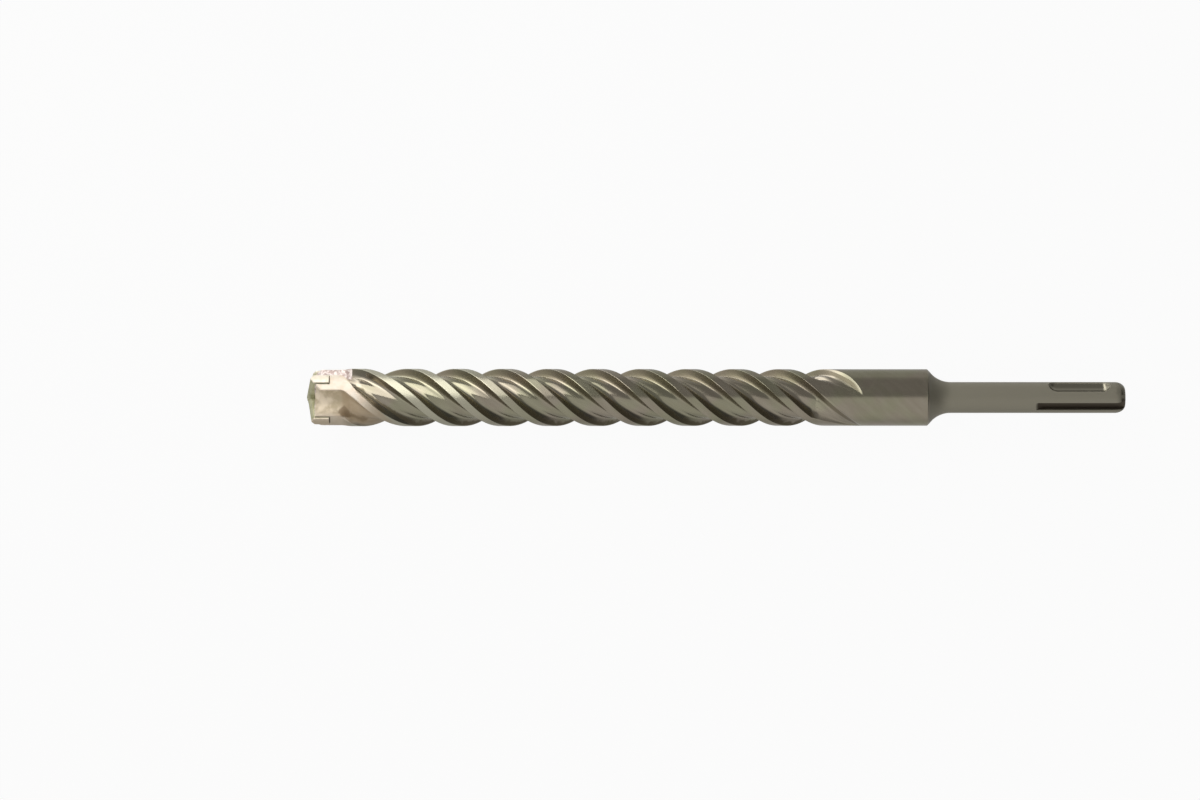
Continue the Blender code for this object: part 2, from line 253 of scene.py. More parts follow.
def land_edges(s):
    """Upper and lower edge of a land, as angles down from the upper edge of the regular helix."""
    share = smooth(s, HEAD_BLEND_START, NECKED_LAND_START)
    upper = mix(HEAD_LAND_START_ANGLE, NECKED_LAND_START_ANGLE, share)
    lower = mix(HEAD_LAND_END_ANGLE, NECKED_LAND_END_ANGLE, share)
    share = smooth(s, NECKED_LAND_START, NECKED_LAND_END)
    return mix(upper, 0.0, share), mix(lower, LAND_WIDTH_ANGLE, share)


def flute_corners(s):
    """The four corners of a flute as (radius, angle), from one land's lower edge to the next land."""
    surface = mix(LAND_RADIUS, BODY_RADIUS, min(max(s / RUNOUT_START, 0.0), 1.0))
    closing_angle = FLOOR_START_ANGLE + 1.0
    upper, rim = land_edges(s)
    wall = FLOOR_START_ANGLE - LAND_WIDTH_ANGLE
    floor_start = rim + wall
    widest_rim = LAND_WIDTH_ANGLE - RUNOUT_RIM_SPREAD_ANGLE
    if s > RUNOUT_WIDEST:
        past = min((s - RUNOUT_WIDEST) / (RUNOUT_END - RUNOUT_WIDEST), 1.0)
        rim = mix(closing_angle, widest_rim, math.sqrt(1 - past * past))
    elif s > RUNOUT_LIFT_START:
        rim = mix(LAND_WIDTH_ANGLE, widest_rim, smooth(s, RUNOUT_LIFT_START, RUNOUT_WIDEST))
    lift = min(max((s - RUNOUT_LIFT_START) / (RUNOUT_END - RUNOUT_LIFT_START), 0.0), 1.0)
    floor_start += RUNOUT_FLOOR_SWING_ANGLE * math.sin(math.pi * lift) ** 2
    risen = 0.5 * (1 - (1 - lift) ** 4) + 0.5 * lift * lift
    start_radius = mix(FLOOR_EDGE_RADIUS, surface, risen)
    closed = min(max((s - RUNOUT_START) / (RUNOUT_END - RUNOUT_START), 0.0), 1.0)
    far_edge = mix(FLUTE_PITCH_ANGLE + upper, closing_angle + 1.5, closed)
    far_wall = FLUTE_PITCH_ANGLE - FLOOR_END_ANGLE
    floor_share = 1 - far_wall / (FLUTE_PITCH_ANGLE - FLOOR_START_ANGLE)
    floor_end = mix(floor_start, far_edge, floor_share)
    end_radius = mix(start_radius, surface, 0.5 * lift)
    rim = min(rim, floor_start - 0.4)
    return (surface, rim), (start_radius, floor_start), (end_radius, floor_end), (surface, far_edge)


def fillet(before, corner, after, radius, count):
    """Points of a small curve in place of a corner of the section, as plane vectors."""
    back = before - corner
    ahead = after - corner
    reach = min(radius, 0.4 * back.length, 0.4 * ahead.length)
    start = corner + back.normalized() * reach
    end = corner + ahead.normalized() * reach
    points = []
    for i in range(count):
        t = i / (count - 1)
        points.append(start * (1 - t) ** 2 + corner * 2 * t * (1 - t) + end * t * t)
    return points


def straight(start, end, count):
    """Points strictly between two others."""
    return [start.lerp(end, (i + 1) / (count + 1)) for i in range(count)]


def arched(start, crown, end, count):
    """Points strictly between two others, on a curve that leaves and arrives towards the crown."""
    shares = [(i + 1) / (count + 1) for i in range(count)]
    return [start * (1 - t) ** 2 + crown * 2 * t * (1 - t) + end * t * t for t in shares]


def sector_points(s):
    """One quarter of the fluted section as (radius, angle), from one land's upper edge to the next."""
    rim, floor_start, floor_end, far_edge = flute_corners(s)
    surface = rim[0]
    a, f, d, b = (flat(corner) for corner in (rim, floor_start, floor_end, far_edge))
    land_step = 2.0
    land_before = flat((surface, rim[1] - land_step))
    land_after = flat((surface, far_edge[1] + land_step))
    # The floor runs round the axis, so its two tangents meet in a crown above its middle.
    half = (floor_end[1] - floor_start[1]) / 2
    crown = flat(((floor_start[0] + floor_end[0]) / 2 / math.cos(half * DEG), floor_start[1] + half))
    trough = fillet(land_before, a, f, RIM_ROUNDING, 3)
    start_curve = fillet(a, f, crown, FLOOR_START_ROUNDING, 7)
    end_curve = fillet(crown, d, b, FLOOR_END_ROUNDING, 6)
    far_curve = fillet(d, b, land_after, FAR_EDGE_ROUNDING, 4)
    trough = trough + straight(trough[-1], start_curve[0], 3) + start_curve
    trough = trough + arched(trough[-1], crown, end_curve[0], 11) + end_curve
    trough = trough + straight(trough[-1], far_curve[0], 3) + far_curve
    points = [polar(p.x, p.y) for p in trough]
    head = 1 - smooth(s, HEAD_BLEND_START, HEAD_BLEND_END)
    if head > 0:
        pocket = head_pocket(surface, rim[1], far_edge[1], len(points))
        points = [(mix(p[0], q[0], head), mix(p[1], q[1], head)) for p, q in zip(points, pocket)]
    first = points[-1][1] - FLUTE_PITCH_ANGLE
    last = points[0][1]
    shares = [(i + 1) / (LAND_POINTS + 1) for i in range(LAND_POINTS)]
    land = [(surface, mix(first, last, share)) for share in shares]
    return land + points


def head_pocket(surface, rim, far_edge, count):
    """A round pocket between two lands of the head, from edge to edge."""
    half = (far_edge - rim) / 2
    half_chord = surface * math.sin(half * DEG)
    chord_height = surface * math.cos(half * DEG)
    sagitta = chord_height - HEAD_POCKET_RADIUS
    arc_radius = (half_chord**2 + sagitta**2) / (2 * sagitta)
    arc_centre = HEAD_POCKET_RADIUS + arc_radius
    half_turn = math.asin(min(1.0, half_chord / arc_radius))
    if sagitta > arc_radius:
        half_turn = math.pi - half_turn
    pocket = []
    for i in range(count):
        turn = mix(-half_turn, half_turn, i / (count - 1))
        radius, angle = polar(arc_centre - arc_radius * math.cos(turn), arc_radius * math.sin(turn))
        pocket.append((radius, rim + half + angle))
    return pocket


def fluted_ring(s):
    edge = LAND_EDGE_ANGLE - twist_at(s)
    ring = []
    for index in range(FLUTE_COUNT):
        for radius, angle in sector_points(s):
            ring.append((radius, edge - index * FLUTE_PITCH_ANGLE - angle))
    return ring


def steps_between(start, end, step):
    count = max(1, round((end - start) / step))
    return [mix(start, end, (i + 1) / count) for i in range(count)]


def turned_profile():
    """(station, radius) from the plain body to the end face of the shank."""
    plain = steps_between(RUNOUT_END + SPREAD_LENGTH, BODY_END - 0.3 * MM, 5 * MM)
    profile = [(s, BODY_RADIUS) for s in plain]
    shoulder_radius = BODY_RADIUS - SHOULDER_CHAMFER_DEPTH
    # The edge of the shoulder is turned with a small rounding.
    for i in range(5):
        t = i / 4
        along = mix(-SHOULDER_ROUNDING, SHOULDER_ROUNDING, t)
        drop = SHOULDER_CHAMFER_DEPTH / SHOULDER_CHAMFER_LENGTH * SHOULDER_ROUNDING * t * t
        profile.append((BODY_END + along, BODY_RADIUS - drop))
    for t in (0.4, 0.7):
        drop = SHOULDER_CHAMFER_DEPTH * t
        profile.append((BODY_END + SHOULDER_CHAMFER_LENGTH * t, BODY_RADIUS - drop))
    fillet_drop = shoulder_radius - SHANK_RADIUS
    fillet_length = math.sqrt(2 * NECK_FILLET_RADIUS * fillet_drop - fillet_drop**2)
    fillet_end = BODY_END + SHOULDER_CHAMFER_LENGTH + fillet_length
    steps = 16
    for i in range(steps + 1):
        left = fillet_length * (1 - i / steps)
        rise = NECK_FILLET_RADIUS - math.sqrt(NECK_FILLET_RADIUS**2 - left**2)
        profile.append((fillet_end - left, SHANK_RADIUS + rise))
    shank_stations = steps_between(fillet_end, TOTAL_LENGTH - END_ROUNDING_LENGTH - 1 * MM, 3 * MM)
    profile += [(s, SHANK_RADIUS) for s in shank_stations]
    rounding_depth = SHANK_RADIUS - END_FACE_RADIUS
    steps = 18
    for i in range(steps + 1):
        turn = i / steps * 90 * DEG
        profile.append((
            TOTAL_LENGTH - END_ROUNDING_LENGTH * (1 - math.sin(turn)),
            SHANK_RADIUS - rounding_depth * (1 - math.cos(turn)),
        ))
    return profile


def bar_mesh():
    """The whole bar as one loft: flutes, run-out, plain body, shoulder, neck and shank."""
    stations = [STEEL_FRONT]
    stations += steps_between(stations[-1], HEAD_BLEND_START, HEAD_STEP)
    stations += steps_between(stations[-1], HEAD_BLEND_END, HEAD_BLEND_STEP)
    stations += steps_between(stations[-1], RUNOUT_START, FLUTE_STEP)
    stations += steps_between(stations[-1], RUNOUT_END, RUNOUT_STEP)
    rings = []
    for s in stations:
        ring = fluted_ring(s)
        rings.append([point_at(s, radius, angle) for radius, angle in ring])
    # Past the flutes the points spread out evenly round the bar.
    count = len(ring)
    even = [ring[0][1] - 360 * i / count for i in range(count)]
    for s in steps_between(RUNOUT_END, RUNOUT_END + SPREAD_LENGTH, 1 * MM):
        share = smooth(s, RUNOUT_END, RUNOUT_END + SPREAD_LENGTH)
        rings.append([point_at(s, BODY_RADIUS, mix(p[1], e, share)) for p, e in zip(ring, even)])
    for s, radius in turned_profile():
        rings.append([point_at(s, radius, e) for e in even])
    return loft(rings)


def arm_axes(index):
    """Unit vectors along an arm of the cross and towards its leading side."""
    angle = ARM_ANGLE - index * FLUTE_PITCH_ANGLE
    return point_at(TOTAL_LENGTH, 1, angle), point_at(TOTAL_LENGTH, 1, angle + 90)


def along_arm(index, sections):
    """A solid through (out, section) pairs, each section a list of (across, station) points."""
    along, leading = arm_axes(index)
    return loft([
        [along * out + leading * across + Vector((s - TOTAL_LENGTH, 0, 0)) for across, s in section]
        for out, section in sections
    ])


def slot_cutter():
    half = ARM_THICKNESS / 2 + BRAZE_GAP
    rings = []
    for s in (-CUTTER_OVERRUN, ARM_REAR + BRAZE_GAP):
        ring = []
        for index in range(FLUTE_COUNT):
            along, leading = arm_axes(index)
            middle = Vector((s - TOTAL_LENGTH, 0, 0))
            ring += [
                middle + along * CUTTER_REACH + leading * half,
                middle + along * CUTTER_REACH - leading * half,
                middle + along * half - leading * half,
            ]
        rings.append(ring)
    return object_from(loft(rings), "slot_cutter")


def relief_cutter(index):
    """The bevel behind an arm: sloping away from it, then nearly level, and lifted in the middle."""
    half = ARM_THICKNESS / 2
    sections = []
    for out, lift in ((half, RELIEF_DROP + RELIEF_LIFT), (RELIEF_FULL_OUT, 0.0), (CUTTER_REACH, 0.0)):
        sections.append((out, [
            (half, -CUTTER_OVERRUN),
            (half, STEEL_FRONT - ARM_THICKNESS * RELIEF_DROP / RELIEF_WIDTH - lift),
            (-half - RELIEF_WIDTH, STEEL_FRONT + RELIEF_DROP - lift),
            (-CUTTER_REACH, STEEL_FRONT + RELIEF_FLAT_DROP - lift),
            (-CUTTER_REACH, -CUTTER_OVERRUN),
        ]))
    return object_from(along_arm(index, sections), f"relief_cutter_{index}")


def lock_groove_cutter(index):
    angle = LOCK_GROOVE_ANGLE + 180 * index
    centre_out = SHANK_RADIUS - LOCK_GROOVE_DEPTH + LOCK_BALL_RADIUS
    cap = math.sqrt(LOCK_BALL_RADIUS**2 - (centre_out - SHANK_RADIUS) ** 2)
    start = LOCK_GROOVE_START + cap
    end = LOCK_GROOVE_START + LOCK_GROOVE_LENGTH - cap
    builder = bmesh.new()
    bmesh.ops.create_uvsphere(builder, u_segments=96, v_segments=49, radius=LOCK_BALL_RADIUS)
    bmesh.ops.rotate(builder, verts=builder.verts[:], matrix=Matrix.Rotation(90 * DEG, 3, "Y"))
    for vertex in builder.verts:
        vertex.co.x += start if vertex.co.x < 0 else end
    bmesh.ops.translate(builder, verts=builder.verts[:], vec=point_at(0, centre_out, angle))
    return object_from(builder, f"lock_groove_cutter_{index}")


def key_groove_cutter(index):
    angle = KEY_GROOVE_ANGLE + 180 * index
    bottom = SHANK_RADIUS - KEY_GROOVE_DEPTH
    top = SHANK_RADIUS + CUTTER_OVERRUN
    start = TOTAL_LENGTH - KEY_GROOVE_LENGTH
    run = math.sqrt(2 * KEY_RUNOUT_RADIUS * KEY_GROOVE_DEPTH - KEY_GROOVE_DEPTH**2)
    outline = [(TOTAL_LENGTH + CUTTER_OVERRUN, top), (TOTAL_LENGTH + CUTTER_OVERRUN, bottom)]
    steps = 24
    reach = math.asin(min(1.0, (run + 0.6 * MM) / KEY_RUNOUT_RADIUS))
    for i in range(steps + 1):
        turn = i / steps * reach
        outline.append((
            start + run - KEY_RUNOUT_RADIUS * math.sin(turn),
            bottom + KEY_RUNOUT_RADIUS * (1 - math.cos(turn)),
        ))
    outline.append((outline[-1][0], top))
    side = point_at(TOTAL_LENGTH, KEY_GROOVE_WIDTH / 2, angle + 90)
    middle = [point_at(s, radius, angle) for s, radius in outline]
    rings = [[point + side * sign for point in middle] for sign in (-1, 1)]
    return object_from(loft(rings), f"key_groove_cutter_{index}")


def make_steel_bar(material):
    bar = object_from(bar_mesh(), "fluted_steel_bar", material)
    cutters = [relief_cutter(i) for i in range(FLUTE_COUNT)]
    cutters.append(slot_cutter())
    cutters += [lock_groove_cutter(i) for i in range(2)]
    cutters += [key_groove_cutter(i) for i in range(2)]
    cut(bar, cutters)
    shade(bar, 32)
    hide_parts("steel_body")
    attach(bar, "root")
    return bar


# The carbide cross

def point_arms():
    """The first and third arm as one bar, roofed from end to end over the point."""
    half = ARM_THICKNESS / 2
    reach = HEAD_RADIUS * 1.1
    slope = 1 / math.tan(POINT_ANGLE / 2 * DEG)
    sections = []
    for out in (-reach, 0.0, reach):
        ridge = abs(out) * slope
        turned = (out > 0) - (out < 0)
        middle_drop = (LEADING_FACET_DROP + TRAILING_FACET_DROP) / 2
        lean = (TRAILING_FACET_DROP - LEADING_FACET_DROP) / 2 * turned
        sections.append((out, [
            (-half, ARM_REAR),
            (half, ARM_REAR),
            (half, ridge + middle_drop - lean),
            (0.0, ridge),
            (-half, ridge + middle_drop + lean),
        ]))
    return along_arm(0, sections)


def side_arm(index):
    half = ARM_THICKNESS / 2
    slope = 1 / math.tan(SIDE_POINT_ANGLE / 2 * DEG)
    sections = []
    for out in (-0.8 * half, HEAD_RADIUS * 1.1):
        ridge = max(out, 0.0) * slope + SIDE_ARM_DROP
        sections.append((out, [
            (-half, ARM_REAR),
            (half, ARM_REAR),
            (half, ridge + LEADING_FACET_DROP),
            (0.0, ridge),
            (-half, ridge + TRAILING_FACET_DROP),
        ]))
    return along_arm(index, sections)


def make_carbide(material):
    cross = object_from(point_arms(), "carbide_cross", material)
    cut(cross, [object_from(side_arm(i), f"side_arm_{i}") for i in (1, 3)], "UNION")
    angles = [360 * i / GRINDING_STEPS for i in range(GRINDING_STEPS)]
    rings = [[point_at(s, HEAD_RADIUS, angle) for angle in angles] for s in (-CUTTER_OVERRUN, 2 * ARM_REAR)]
    cut(cross, [object_from(loft(rings), "grinding_diameter")], "INTERSECT")
    bevel = cross.modifiers.new("worn_edges", "BEVEL")
    bevel.width = WORN_CARBIDE_EDGE
    bevel.segments = 3
    bevel.limit_method = "ANGLE"
    bevel.angle_limit = 20 * DEG
    shade(cross, 40)
    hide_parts("carbide_head")
    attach(cross, "root")
    return cross


# The braze

def lumps(place, size, seed):
    """Uneven from 0 to 1, with lumps of about this size."""
    return 0.5 + 0.5 * noise.noise(place / size + Vector((seed, 0, 0)))


def onto_bevel(place, index):
    """The same place, or one on the bevel behind the arm where the bevel has cut it away."""
    along, leading = arm_axes(index)
    half = ARM_THICKNESS / 2
    out, across = place.dot(along), place.dot(leading)
    inward = min(max((RELIEF_FULL_OUT - out) / (RELIEF_FULL_OUT - half), 0.0), 1.0)
    lift = (RELIEF_DROP + RELIEF_LIFT) * inward
    drop = max(place.x + TOTAL_LENGTH - STEEL_FRONT + lift, 0.0)
    if drop < RELIEF_DROP:
        limit = half + drop * RELIEF_WIDTH / RELIEF_DROP
    else:
        share = (drop - RELIEF_DROP) / (RELIEF_FLAT_DROP - RELIEF_DROP)
        limit = mix(half + RELIEF_WIDTH, CUTTER_REACH, share)
    return place + leading * (max(across, -limit) - across)


def braze_run(builder, index, seed):
    """Filler metal that ran out of the slot and set in lumps down the wall of a pocket."""
    rings = []
    for i in range(BRAZE_STEPS + 1):
        s = mix(BRAZE_RUN_START, BRAZE_RUN_END, i / BRAZE_STEPS)
        edge = LAND_EDGE_ANGLE - twist_at(s) - index * FLUTE_PITCH_ANGLE
        wall = sector_points(s)[LAND_POINTS:LAND_POINTS + BRAZE_WALL_POINTS]
        wall = [onto_bevel(point_at(s, radius, edge - angle), index) for radius, angle in wall]
        end_fade = math.sin(math.pi * i / BRAZE_STEPS) ** 0.35
        top, bottom = [], []
        for j, place in enumerate(wall):
            before = wall[max(j - 1, 0)]
            after = wall[min(j + 1, len(wall) - 1)]
            out = (after - before).cross(Vector((1, 0, 0))).normalized()
            fade = end_fade * math.sin(math.pi * j / (len(wall) - 1)) ** 0.6
            large = mix(0.05, 0.55, lumps(place, 1.5 * MM, seed))
            small = 0.35 * lumps(place, 0.7 * MM, seed + 9)
            top.append(place + out * ((large + small) * fade - 0.04) * MM)
            bottom.append(place - out * 0.35 * MM)
        rings.append(top + bottom[::-1])
    skin(builder, rings)


def braze_bead(builder, index, side, radius, seed):
    """A thin uneven bead where an arm of the cross leaves the steel."""
    along, leading = arm_axes(index)
    across = side * (ARM_THICKNESS + BRAZE_GAP) / 2
    rings = []
    for i in range(BRAZE_STEPS + 1):
        share = i / BRAZE_STEPS
        out = mix(BRAZE_BEAD_START, BRAZE_BEAD_END, share)
        sunk = max(out - RELIEF_FULL_OUT, 0.0) * 0.03 if side < 0 else 0.0
        back = Vector((STEEL_FRONT + 0.05 * MM + sunk - TOTAL_LENGTH, 0, 0))
        middle = along * out + leading * across + back
        fade = math.sin(math.pi * (0.04 + 0.92 * share)) ** 0.5
        ring = []
        for j in range(BEAD_POINTS):
            turn = 2 * math.pi * j / BEAD_POINTS
            way = leading * math.cos(turn) + Vector((math.sin(turn), 0, 0))
            size = radius * fade * mix(0.55, 1.3, lumps(middle + way * radius, 0.9 * MM, seed))
            ring.append(middle + way * size)
        rings.append(ring)
    skin(builder, rings)


def make_braze(material):
    runs = bmesh.new()
    # The pocket on the side of +Z stayed clean.
    for index in range(1, FLUTE_COUNT):
        braze_run(runs, index, 3.7 * index)
    beads = bmesh.new()
    for index in range(FLUTE_COUNT):
        braze_bead(beads, index, 1, 0.30 * MM, 11 + index)
        braze_bead(beads, index, -1, 0.22 * MM, 17 + index)
    for builder, name in ((runs, "braze_runs"), (beads, "braze_beads")):
        piece = object_from(builder, name, material)
        piece.data.shade_smooth()
        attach(piece, "root")


# Materials

class Wiring:
    """Short ways to place and join nodes in one node tree."""

    def __init__(self, tree):
        self.nodes = tree.nodes
        self.links = tree.links

    def feed(self, socket, value):
        if isinstance(value, bpy.types.NodeSocket):
            self.links.new(value, socket)
        else:
            socket.default_value = value

    def math(self, operation, *values):
        node = self.nodes.new("ShaderNodeMath")
        node.operation = operation
        for socket, value in zip(node.inputs, values):
            self.feed(socket, value)
        return node.outputs[0]

    def plus(self, a, b):
        return self.math("ADD", a, b)

    def minus(self, a, b):
        return self.math("SUBTRACT", a, b)

    def times(self, a, b, *more):
        product = self.math("MULTIPLY", a, b)
        for factor in more:
            product = self.math("MULTIPLY", product, factor)
        return product

    def larger(self, a, b):
        return self.math("MAXIMUM", a, b)

    def ramp(self, value, low, high, to_low=0.0, to_high=1.0):
        """A smooth change from to_low, at low and under it, to to_high, at high and over it."""
        node = self.nodes.new("ShaderNodeMapRange")
        node.interpolation_type = "SMOOTHSTEP"
        given = (("From Min", low), ("From Max", high), ("To Min", to_low), ("To Max", to_high))
        self.feed(node.inputs["Value"], value)
        for name, number in given:
            node.inputs[name].default_value = number
        return node.outputs["Result"]

    def fall(self, value, low, high):
        """A smooth change from 1 to 0."""
        return self.ramp(value, low, high, 1.0, 0.0)

    def noise(self, vector, scale, detail, roughness):
        node = self.nodes.new("ShaderNodeTexNoise")
        self.feed(node.inputs["Vector"], vector)
        self.feed(node.inputs["Scale"], scale)
        node.inputs["Detail"].default_value = detail
        node.inputs["Roughness"].default_value = roughness
        return node.outputs["Fac"]

    def mix_colour(self, share, a, b):
        node = self.nodes.new("ShaderNodeMix")
        node.data_type = "RGBA"
        self.feed(node.inputs["Factor"], share)
        for socket, value in ((node.inputs[6], a), (node.inputs[7], b)):
            self.feed(socket, (*value, 1) if isinstance(value, tuple) else value)
        return node.outputs[2]

    def mix_value(self, share, a, b):
        node = self.nodes.new("ShaderNodeMix")
        for socket, value in zip((node.inputs["Factor"], node.inputs[2], node.inputs[3]), (share, a, b)):
            self.feed(socket, value)
        return node.outputs[0]

    def place(self):
        """The point on the object in metres."""
        return self.nodes.new("ShaderNodeTexCoord").outputs["Object"]

    def parts(self, vector):
        """The vector's x, y and z."""
        node = self.nodes.new("ShaderNodeSeparateXYZ")
        self.feed(node.inputs[0], vector)
        return node.outputs[:3]

    def vector(self, x, y, z):
        node = self.nodes.new("ShaderNodeCombineXYZ")
        for socket, value in zip(node.inputs, (x, y, z)):
            self.feed(socket, value)
        return node.outputs[0]

    def bump(self, height, strength, distance):
        node = self.nodes.new("ShaderNodeBump")
        node.inputs["Strength"].default_value = strength
        node.inputs["Distance"].default_value = distance
        self.feed(node.inputs["Height"], height)
        return node.outputs["Normal"]


def new_material(name):
    """A material, the wiring of its node tree, and its shader."""
    material = bpy.data.materials.new(name)
    material.use_nodes = True
    return material, Wiring(material.node_tree), material.node_tree.nodes["Principled BSDF"]


def axis_coordinates(wiring):
    """Station, radius, and the angle turned back so that a flute keeps one angle all along."""
    x, y, z = wiring.parts(wiring.place())
    station = wiring.plus(x, TOTAL_LENGTH)
    radius = wiring.math("SQRT", wiring.plus(wiring.times(y, y), wiring.times(z, z)))
    past = wiring.larger(wiring.minus(station, FLUTE_TWIST_START), 0.0)
    twist = wiring.times(past, 2 * math.pi / FLUTE_LEAD)
    return station, radius, wiring.plus(wiring.math("ARCTAN2", y, z), twist)


def make_grain_group():
    """Fine grain of a blasted, sintered or scaled surface."""
    group = bpy.data.node_groups.new("surface_grain", "ShaderNodeTree")
    group.interface.new_socket("Scale", in_out="INPUT", socket_type="NodeSocketFloat")
    group.interface.new_socket("Grain", in_out="OUTPUT", socket_type="NodeSocketFloat")
    inside = Wiring(group)
    entry = group.nodes.new("NodeGroupInput")
    leave = group.nodes.new("NodeGroupOutput")
    fine = inside.noise(inside.place(), entry.outputs["Scale"], 2.0, 0.6)
    coarse = inside.noise(inside.place(), inside.times(entry.outputs["Scale"], 0.37), 2.0, 0.5)
    group.links.new(inside.mix_value(0.35, fine, coarse), leave.inputs["Grain"])
    return group


def grain(wiring, group, scale):
    node = wiring.nodes.new("ShaderNodeGroup")
    node.node_tree = group
    node.inputs["Scale"].default_value = scale
    return node.outputs["Grain"]


def warped(wiring, place):
    """The same point pushed aside by noise, so that a patch gets a ragged outline."""
    node = wiring.nodes.new("ShaderNodeTexNoise")
    wiring.feed(node.inputs["Vector"], place)
    node.inputs["Scale"].default_value = 420
    node.inputs["Detail"].default_value = 3
    push = wiring.nodes.new("ShaderNodeVectorMath")
    push.operation = "MULTIPLY_ADD"
    wiring.feed(push.inputs[0], node.outputs["Color"])
    push.inputs[1].default_value = [2 * MM] * 3
    wiring.feed(push.inputs[2], place)
    shift = wiring.nodes.new("ShaderNodeVectorMath")
    shift.operation = "SUBTRACT"
    wiring.feed(shift.inputs[0], push.outputs["Vector"])
    shift.inputs[1].default_value = [1 * MM] * 3
    return shift.outputs["Vector"]


def stain_and_shade_patch(wiring, place, corners, blur):
    """1 inside a convex patch on the side of +Z, given by its corners' stations and heights in mm."""
    x, y, z = wiring.parts(place)
    outside = -1.0
    for (s, across), (next_s, next_across) in zip(corners, corners[1:] + corners[:1]):
        run, rise = next_s - s, next_across - across
        length = math.hypot(run, rise)
        over_x = wiring.times(wiring.minus(x, s * MM - TOTAL_LENGTH), rise / length)
        over_y = wiring.times(wiring.minus(y, across * MM), run / length)
        outside = wiring.larger(outside, wiring.minus(over_x, over_y))
    return wiring.times(wiring.fall(outside, -blur, blur), wiring.ramp(z, 0.0, 1 * MM))


# Stains round the pocket that faces the camera, and painted shade behind the arm, as (station, height) in
# millimetres, against the
# clock: burnt flux, the trail that runs on from it, and painted shade in the gap behind the top arm.
BURNT_PATCH = ((10.1, -4.8), (12.4, -6.6), (14.8, -6.3), (13.2, -3.6), (12.0, -2.4))
BURNT_TRAIL = ((13.6, -6.2), (19.6, -7.7), (19.8, -6.9), (14.2, -4.7))
PAINTED_SHADE_BEHIND_ARM = ((7.2, 7.4), (8.1, 7.2), (8.2, 9.7), (7.2, 9.7))

# One land and its pocket were heated further back than the others: the middle of that sector,
# and the half widths between which the heat fades.
HOT_SECTOR_ANGLE = -3.0
HOT_SECTOR_REACH = (48.0, 43.0)

# Base colours. Noise mixes the two colours of a pair.
LIGHT_STEEL = ((0.345, 0.333, 0.252), (0.360, 0.328, 0.270))
DEEP_STEEL = ((0.245, 0.233, 0.163), (0.260, 0.226, 0.178))
BLASTED_STEEL = (0.26, 0.245, 0.195)
SCUFFED_STEEL = (0.42, 0.41, 0.33)
# Painted shade for the corner under each land and along its upper edge.
PAINTED_CORNER_SHADE_COLOUR = (0.115, 0.094, 0.056)
# Painted shade for the floors of the key grooves.
PAINTED_GROOVE_SHADE_COLOUR = (0.075, 0.062, 0.045)
HEAT_TINT = ((0.30, 0.225, 0.150), (0.46, 0.39, 0.30))
LAND_SCALE = ((0.86, 0.72, 0.58), (0.93, 0.84, 0.73))
POCKET_SCALE = ((0.50, 0.42, 0.29), (0.76, 0.66, 0.52))
FAR_AND_SHADED_SCALE = ((0.36, 0.30, 0.21), (0.56, 0.48, 0.37))
TAIL_SCALE = ((0.36, 0.27, 0.165), (0.52, 0.41, 0.28))
BURNT_FLUX = (0.23, 0.165, 0.095)
PAINTED_ARM_GAP_SHADE_COLOUR = (0.10, 0.065, 0.035)
CARBIDE_FACES = ((0.33, 0.33, 0.19), (0.48, 0.47, 0.31))
CARBIDE_ENDS = ((0.80, 0.73, 0.61), (0.90, 0.84, 0.74))
SHADED_LOW_CARBIDE = (0.50, 0.42, 0.31)
BRAZE_METAL = ((0.50, 0.38, 0.36), (0.90, 0.82, 0.80))


def bar_patterns(wiring, grain_group):
    """The coordinates and noises that the bar's colour, roughness and bump share."""
    place = wiring.place()
    station, radius, turned = axis_coordinates(wiring)
    # Mill marks run along the flutes, so they are drawn in the flutes' own turning frame.
    around = wiring.times(wiring.math("SINE", turned), radius)
    aside = wiring.times(wiring.math("COSINE", turned), radius)
    mark_place = wiring.vector(wiring.times(station, 0.06), around, aside)
    patch_place = wiring.vector(wiring.times(station, 0.35), around, aside)
    clouds = wiring.noise(place, 260, 3.0, 0.55)
    return SimpleNamespace(
        place=place,
        station=station,
        radius=radius,
        turned=turned,
        marks=wiring.noise(mark_place, 2600, 3.0, 0.6),
        patches=wiring.noise(patch_place, 420, 3.0, 0.55),
        fine=grain(wiring, grain_group, 5200),
        clouds=clouds,
        # A station that wavers, for the limits of scale and heat tint.
        reached=wiring.plus(station, wiring.times(wiring.minus(clouds, 0.5), 5 * MM)),
    )


def heated(wiring, at, all_round, in_hot_sector):
    """1 at the head, and further back in the hot sector, with each limit as two stations in mm."""
    off_centre = wiring.math("COSINE", wiring.minus(at.turned, HOT_SECTOR_ANGLE * DEG))
    hot = wiring.ramp(off_centre, *(math.cos(angle * DEG) for angle in HOT_SECTOR_REACH))
    everywhere, further = (
        wiring.fall(at.reached, low * MM, high * MM) for low, high in (all_round, in_hot_sector)
    )
    return wiring.larger(everywhere, wiring.times(hot, further))


def painted_corner_shade_share(wiring, at, fluted):
    """Painted shade, dark brown, in the steep corner under each land and, ragged, along the land's upper
    edge.
    """
    pitch = FLUTE_PITCH_ANGLE * DEG
    across = wiring.math("FLOORED_MODULO", wiring.minus(LAND_EDGE_ANGLE * DEG, at.turned), pitch)
    corner = wiring.times(
        wiring.ramp(across, 20.0 * DEG, 21.5 * DEG),
        wiring.fall(across, FLOOR_START_ANGLE * DEG, (FLOOR_START_ANGLE + 5) * DEG),
    )
    teeth = wiring.times(wiring.minus(wiring.noise(at.place, 500, 1.0, 0.5), 0.5), 14 * DEG)
    upper_corner = wiring.ramp(wiring.plus(across, teeth), 81 * DEG, 86 * DEG)
    share = wiring.larger(wiring.times(corner, 0.6), wiring.times(upper_corner, 0.75))
    return wiring.times(share, fluted, wiring.fall(at.radius, 8.9 * MM, 9.1 * MM))


